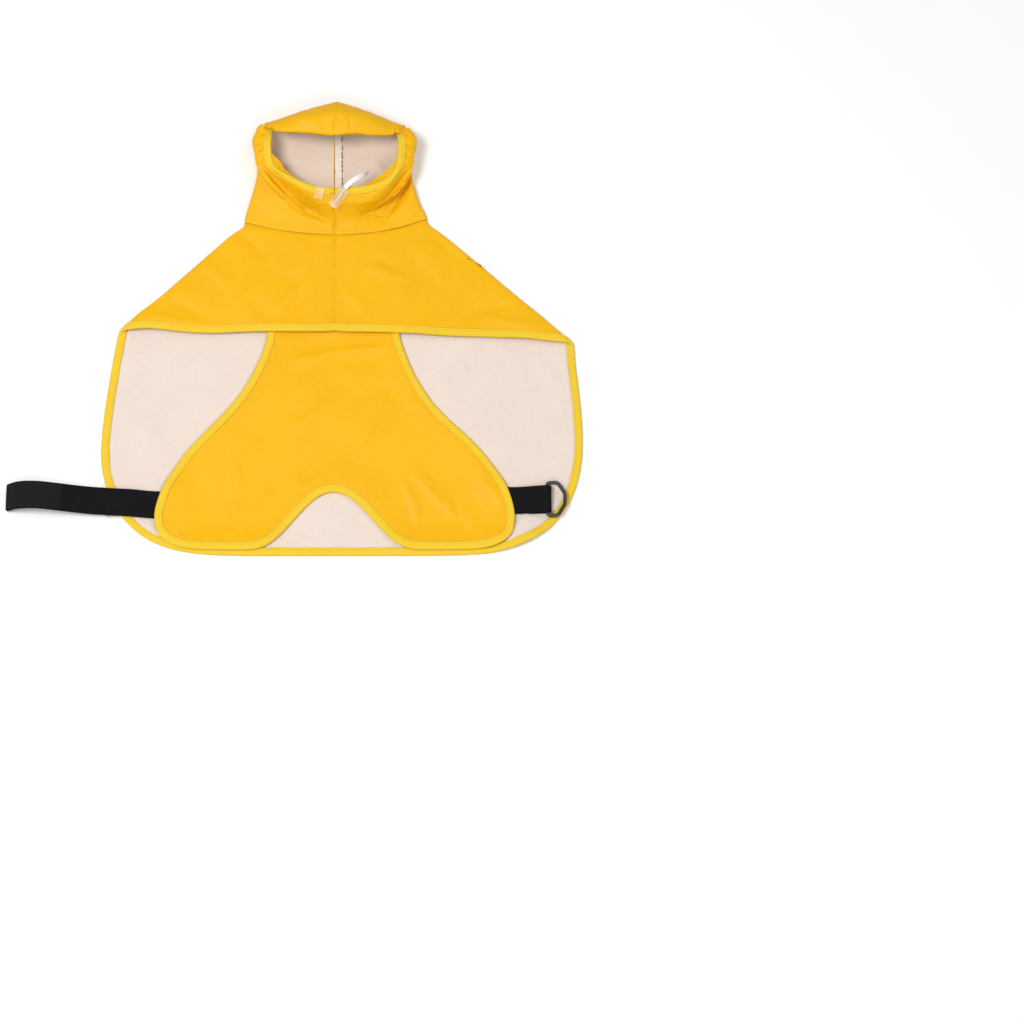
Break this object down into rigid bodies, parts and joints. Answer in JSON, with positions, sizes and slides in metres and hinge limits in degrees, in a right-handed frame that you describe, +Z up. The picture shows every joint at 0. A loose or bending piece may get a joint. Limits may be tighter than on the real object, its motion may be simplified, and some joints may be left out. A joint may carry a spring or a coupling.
{
  "type": "dog raincoat",
  "caption": "Hooded dog raincoat laid flat belly side up, with a notched belly panel, folded edge tape, a girth strap and its ring buckle.",
  "frame": {"origin": "on the surface the coat lies on, under the middle of the front hem", "axes": "+X across the coat towards the ring buckle, +Y towards the hood, +Z up, out of the belly side"},
  "size_m": [0.5049, 0.4105, 0.0465],
  "materials": {
    "shell": "smooth coated cloth, amber yellow outside and pale cream inside",
    "lining": "pale cream, the shell cloth's inner side",
    "edge_tape": "folded woven tape, light yellow",
    "webbing": "black woven webbing",
    "moulded_black": "black moulded plastic",
    "cord": "white flat elastic cord",
    "clear_plastic": "clear moulded plastic"
  },
  "bodies": {
    "garment": {"body": "shell", "belly_panel": "shell", "hood_left": "shell", "hood_right": "shell", "hood_seam_allowance": "lining", "leash_flap": "shell", "body_binding": "edge_tape", "belly_binding": "edge_tape", "hood_binding": "edge_tape", "flap_binding": "edge_tape", "strap_long": "webbing", "strap_patch": "webbing", "strap_short": "webbing", "drawcord": "cord", "cord_lock": "clear_plastic", "cord_tab": "clear_plastic"},
    "ring": {"ring_buckle": "moulded_black"}
  },
  "joints": [
    {"name": "ring_swing", "type": "hinge", "parent": "garment", "child": "ring", "pos_m": [0.1845, -0.1578, 0.007], "axis": [0, -1, 0], "range_deg": [0, 130]}
  ]
}
